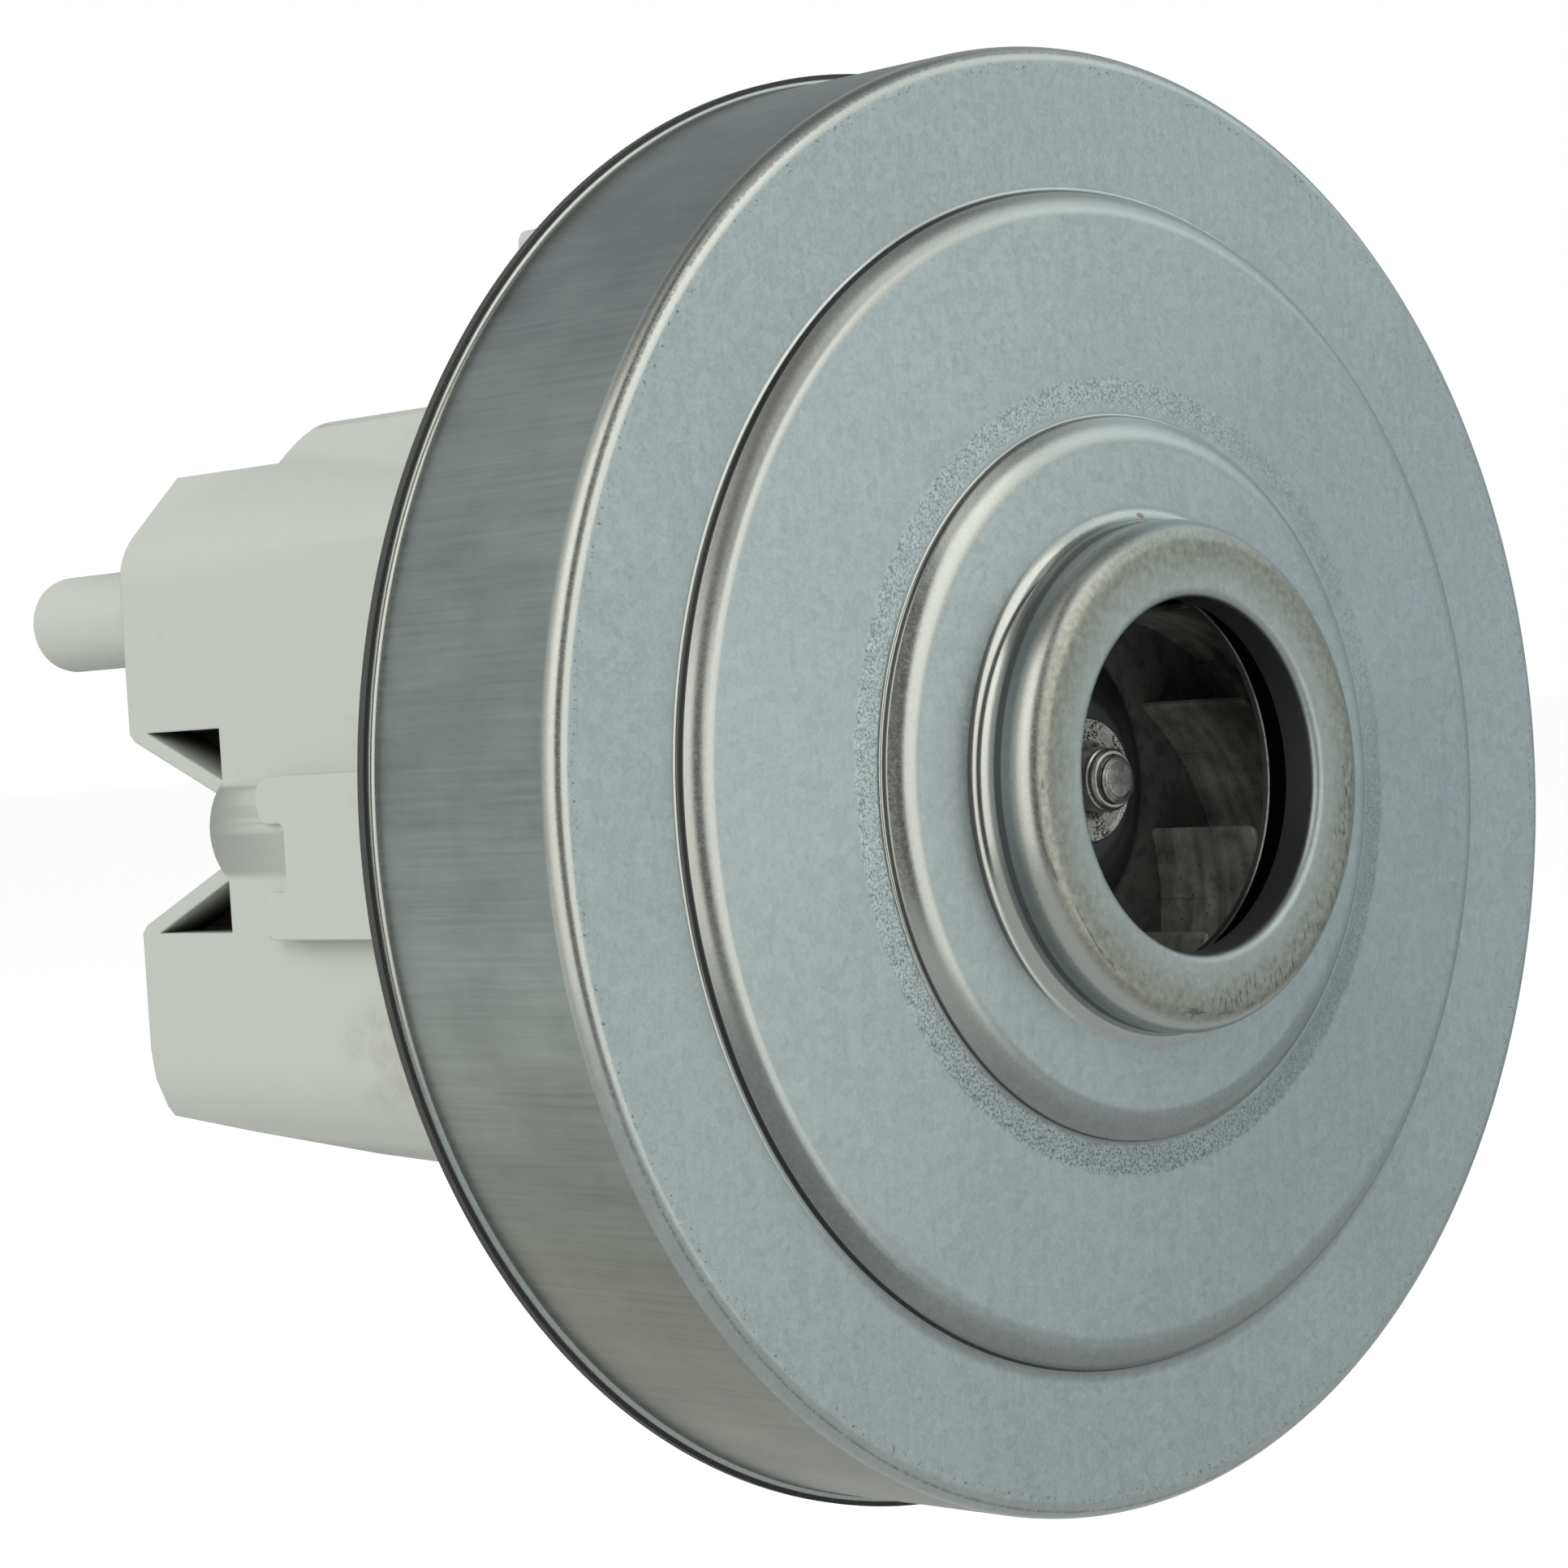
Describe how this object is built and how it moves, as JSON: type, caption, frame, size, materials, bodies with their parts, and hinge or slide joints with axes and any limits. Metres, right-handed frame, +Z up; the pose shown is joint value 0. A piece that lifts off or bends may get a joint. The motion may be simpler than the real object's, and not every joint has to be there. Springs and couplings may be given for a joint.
{
  "type": "vacuum motor unit",
  "caption": "Through-flow vacuum motor: a shrouded fan under a stepped pressed steel cover, driven by a brushed commutator motor in a moulded housing with a locating peg.",
  "frame": {"origin": "centre of the straight wall of the inlet bore, on the shaft's axis", "axes": "the shaft lies along Y with the inlet facing -Y; +Z is up, on the housing's higher side, where the locating peg is; +X is to the right as one looks into the back of the inlet along +Y"},
  "size_m": [0.1359, 0.1214, 0.1358],
  "materials": {
    "galvanised_sheet": "zinc plated, satin",
    "housing_plastic": "moulded, fine grain",
    "diffuser_plastic": "moulded",
    "cast_aluminium": "die cast",
    "impeller_sheet": "pressed sheet, dusty",
    "lamination_steel": "stacked laminations",
    "enamelled_copper": "enamelled wire",
    "copper_bars": "turned",
    "moulded_resin": "phenolic",
    "carbon": "graphite",
    "sheet_brass": "stamped",
    "bearing_steel": "ground",
    "shaft_steel": "ground",
    "zinc_plated_steel": "zinc plated",
    "black_rubber": "moulded",
    "spring_steel": "drawn wire"
  },
  "bodies": {
    "motor_frame": {"fan_cover": "galvanised_sheet", "diffuser": "diffuser_plastic", "motor_housing": "housing_plastic", "front_end_shield": "cast_aluminium", "motor_screws": "zinc_plated_steel", "stator_core": "lamination_steel", "field_coil_left": "enamelled_copper", "field_coil_right": "enamelled_copper", "brush_holder_upper": "sheet_brass", "brush_holder_lower": "sheet_brass", "brush_cap_upper": "sheet_brass", "brush_cap_lower": "sheet_brass", "brush_spring_upper": "spring_steel", "brush_spring_lower": "spring_steel", "rear_bearing_bracket": "zinc_plated_steel", "bracket_screws": "zinc_plated_steel", "rear_bearing_bush": "black_rubber", "terminal_tabs": "sheet_brass", "front_bearing_outer_ring": "bearing_steel", "front_bearing_shields": "zinc_plated_steel", "rear_bearing_outer_ring": "bearing_steel", "rear_bearing_shields": "zinc_plated_steel"},
    "rotor": {"shaft": "shaft_steel", "impeller_nut": "zinc_plated_steel", "clamp_washer": "zinc_plated_steel", "impeller_back_plate": "impeller_sheet", "impeller_vanes": "impeller_sheet", "impeller_shroud": "impeller_sheet", "impeller_spacer": "cast_aluminium", "armature_core": "lamination_steel", "armature_winding": "enamelled_copper", "commutator_hub": "moulded_resin", "commutator_bars": "copper_bars", "front_bearing_inner_ring": "bearing_steel", "rear_bearing_inner_ring": "bearing_steel"},
    "front_ball_set": {"front_bearing_balls": "bearing_steel", "front_bearing_cage": "sheet_brass"},
    "rear_ball_set": {"rear_bearing_balls": "bearing_steel", "rear_bearing_cage": "sheet_brass"},
    "upper_brush": {"carbon_brush_upper": "carbon"},
    "lower_brush": {"carbon_brush_lower": "carbon"}
  },
  "joints": [
    {"name": "rotor_spin", "type": "hinge", "parent": "motor_frame", "child": "rotor", "pos_m": [0, 0, 0], "axis": [0, -1, 0], "continuous": true},
    {"name": "front_ball_roll", "type": "hinge", "parent": "motor_frame", "child": "front_ball_set", "pos_m": [0, 0, 0], "axis": [0, -1, 0], "continuous": true},
    {"name": "rear_ball_roll", "type": "hinge", "parent": "motor_frame", "child": "rear_ball_set", "pos_m": [0, 0, 0], "axis": [0, -1, 0], "continuous": true},
    {"name": "upper_brush_slide", "type": "slide", "parent": "motor_frame", "child": "upper_brush", "axis": [0, 0, 1], "range_m": [0, 0.004], "stiffness_N_per_m": 300, "springref_m": -0.008, "deforming": ["brush_spring_upper"]},
    {"name": "lower_brush_slide", "type": "slide", "parent": "motor_frame", "child": "lower_brush", "axis": [0, 0, -1], "range_m": [0, 0.004], "stiffness_N_per_m": 300, "springref_m": -0.008, "deforming": ["brush_spring_lower"]}
  ],
  "couplings": [
    {"joint": "front_ball_roll", "follows": "rotor_spin", "ratio": 0.368},
    {"joint": "rear_ball_roll", "follows": "rotor_spin", "ratio": 0.36}
  ]
}
